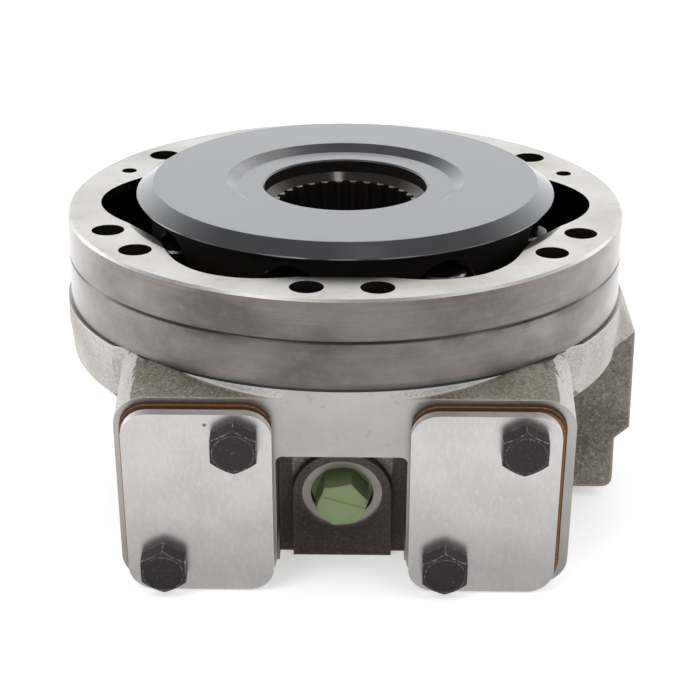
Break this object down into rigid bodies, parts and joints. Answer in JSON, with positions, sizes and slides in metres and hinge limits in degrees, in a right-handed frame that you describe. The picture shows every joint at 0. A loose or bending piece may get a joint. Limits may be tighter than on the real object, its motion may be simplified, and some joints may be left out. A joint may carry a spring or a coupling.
{
  "type": "hydraulic drive motor",
  "caption": "Radial piston hydraulic drive motor: lobed cam ring, splined cylinder block with roller pistons, distributor and cast port housing with two flanged ports.",
  "frame": {"origin": "centre of the cam ring's ground top face, where the bearing carrier bolts on", "axes": "+Z along the motor's axis away from the ports' housing, -Y towards the side that the hydraulic ports face"},
  "size_m": [0.2171, 0.2191, 0.1262],
  "materials": {
    "sand_cast_iron": "sand cast, machined faces",
    "ground_ring_steel": "ground faces, turned rim",
    "phosphated_steel": "black phosphate, oiled",
    "cover_plate_steel": "satin, bead blasted",
    "gasket_fibre": "orange sheet with dark layer",
    "black_bolt_steel": "black oxide",
    "green_plug_plastic": "moulded polyethylene",
    "seal_rubber": "moulded nitrile",
    "bush_bronze": "bearing bronze with slip layer",
    "roller_steel": "hardened, lapped",
    "piston_steel": "ground",
    "distributor_iron": "turned and lapped",
    "spring_steel": "blued",
    "end_cover_steel": "turned, oiled"
  },
  "bodies": {
    "housing": {"cam_ring_upper": "ground_ring_steel", "cam_ring_lower": "ground_ring_steel", "ring_joint_seal": "seal_rubber", "housing_face_seal": "seal_rubber", "locating_pins": "roller_steel", "distributor": "distributor_iron", "distributor_pin": "roller_steel", "distributor_spring": "spring_steel", "distributor_seal_upper": "seal_rubber", "distributor_seal_middle": "seal_rubber", "distributor_seal_lower": "seal_rubber", "port_housing": "sand_cast_iron", "drain_plug": "green_plug_plastic", "end_cover": "end_cover_steel", "end_cover_seal": "seal_rubber", "end_cover_screws": "black_bolt_steel", "port_gasket_left": "gasket_fibre", "port_gasket_right": "gasket_fibre", "port_cover_left": "cover_plate_steel", "port_cover_right": "cover_plate_steel", "port_cover_bolts_left": "black_bolt_steel", "port_cover_bolts_right": "black_bolt_steel"},
    "rotor": {"cylinder_block": "phosphated_steel"},
    "piston_1": {"piston_1": "piston_steel", "piston_ring_1": "seal_rubber", "roller_bush_1": "bush_bronze"},
    "roller_1": {"roller_1": "roller_steel"},
    "piston_2": {"piston_2": "piston_steel", "piston_ring_2": "seal_rubber", "roller_bush_2": "bush_bronze"},
    "roller_2": {"roller_2": "roller_steel"},
    "piston_3": {"piston_3": "piston_steel", "piston_ring_3": "seal_rubber", "roller_bush_3": "bush_bronze"},
    "roller_3": {"roller_3": "roller_steel"},
    "piston_4": {"piston_4": "piston_steel", "piston_ring_4": "seal_rubber", "roller_bush_4": "bush_bronze"},
    "roller_4": {"roller_4": "roller_steel"},
    "piston_5": {"piston_5": "piston_steel", "piston_ring_5": "seal_rubber", "roller_bush_5": "bush_bronze"},
    "roller_5": {"roller_5": "roller_steel"},
    "piston_6": {"piston_6": "piston_steel", "piston_ring_6": "seal_rubber", "roller_bush_6": "bush_bronze"},
    "roller_6": {"roller_6": "roller_steel"},
    "piston_7": {"piston_7": "piston_steel", "piston_ring_7": "seal_rubber", "roller_bush_7": "bush_bronze"},
    "roller_7": {"roller_7": "roller_steel"},
    "piston_8": {"piston_8": "piston_steel", "piston_ring_8": "seal_rubber", "roller_bush_8": "bush_bronze"},
    "roller_8": {"roller_8": "roller_steel"}
  },
  "joints": [
    {"name": "rotor_spin", "type": "hinge", "parent": "housing", "child": "rotor", "pos_m": [0, 0, 0], "axis": [0, 0, 1], "continuous": true},
    {"name": "piston_1_stroke", "type": "slide", "parent": "rotor", "child": "piston_1", "axis": [0.9659, -0.2588, 0], "range_m": [0, 0.00748]},
    {"name": "roller_1_spin", "type": "hinge", "parent": "piston_1", "child": "roller_1", "pos_m": [0.06733, -0.01804, -0.0164], "axis": [0, 0, 1], "continuous": true},
    {"name": "piston_2_stroke", "type": "slide", "parent": "rotor", "child": "piston_2", "axis": [0.866, 0.5, 0], "range_m": [0, 0.00078]},
    {"name": "roller_2_spin", "type": "hinge", "parent": "piston_2", "child": "roller_2", "pos_m": [0.06036, 0.03485, -0.0164], "axis": [0, 0, 1], "continuous": true},
    {"name": "piston_3_stroke", "type": "slide", "parent": "rotor", "child": "piston_3", "axis": [0.2588, 0.9659, 0], "range_m": [0, 0.00748]},
    {"name": "roller_3_spin", "type": "hinge", "parent": "piston_3", "child": "roller_3", "pos_m": [0.01804, 0.06733, -0.0164], "axis": [0, 0, 1], "continuous": true},
    {"name": "piston_4_stroke", "type": "slide", "parent": "rotor", "child": "piston_4", "axis": [-0.5, 0.866, 0], "range_m": [0, 0.01418]},
    {"name": "roller_4_spin", "type": "hinge", "parent": "piston_4", "child": "roller_4", "pos_m": [-0.03485, 0.06036, -0.0164], "axis": [0, 0, 1], "continuous": true},
    {"name": "piston_5_stroke", "type": "slide", "parent": "rotor", "child": "piston_5", "axis": [-0.9659, 0.2588, 0], "range_m": [0, 0.00748]},
    {"name": "roller_5_spin", "type": "hinge", "parent": "piston_5", "child": "roller_5", "pos_m": [-0.06733, 0.01804, -0.0164], "axis": [0, 0, 1], "continuous": true},
    {"name": "piston_6_stroke", "type": "slide", "parent": "rotor", "child": "piston_6", "axis": [-0.866, -0.5, 0], "range_m": [0, 0.00078]},
    {"name": "roller_6_spin", "type": "hinge", "parent": "piston_6", "child": "roller_6", "pos_m": [-0.06036, -0.03485, -0.0164], "axis": [0, 0, 1], "continuous": true},
    {"name": "piston_7_stroke", "type": "slide", "parent": "rotor", "child": "piston_7", "axis": [-0.2588, -0.9659, 0], "range_m": [0, 0.00748]},
    {"name": "roller_7_spin", "type": "hinge", "parent": "piston_7", "child": "roller_7", "pos_m": [-0.01804, -0.06733, -0.0164], "axis": [0, 0, 1], "continuous": true},
    {"name": "piston_8_stroke", "type": "slide", "parent": "rotor", "child": "piston_8", "axis": [0.5, -0.866, 0], "range_m": [0, 0.01418]},
    {"name": "roller_8_spin", "type": "hinge", "parent": "piston_8", "child": "roller_8", "pos_m": [0.03485, -0.06036, -0.0164], "axis": [0, 0, 1], "continuous": true}
  ]
}
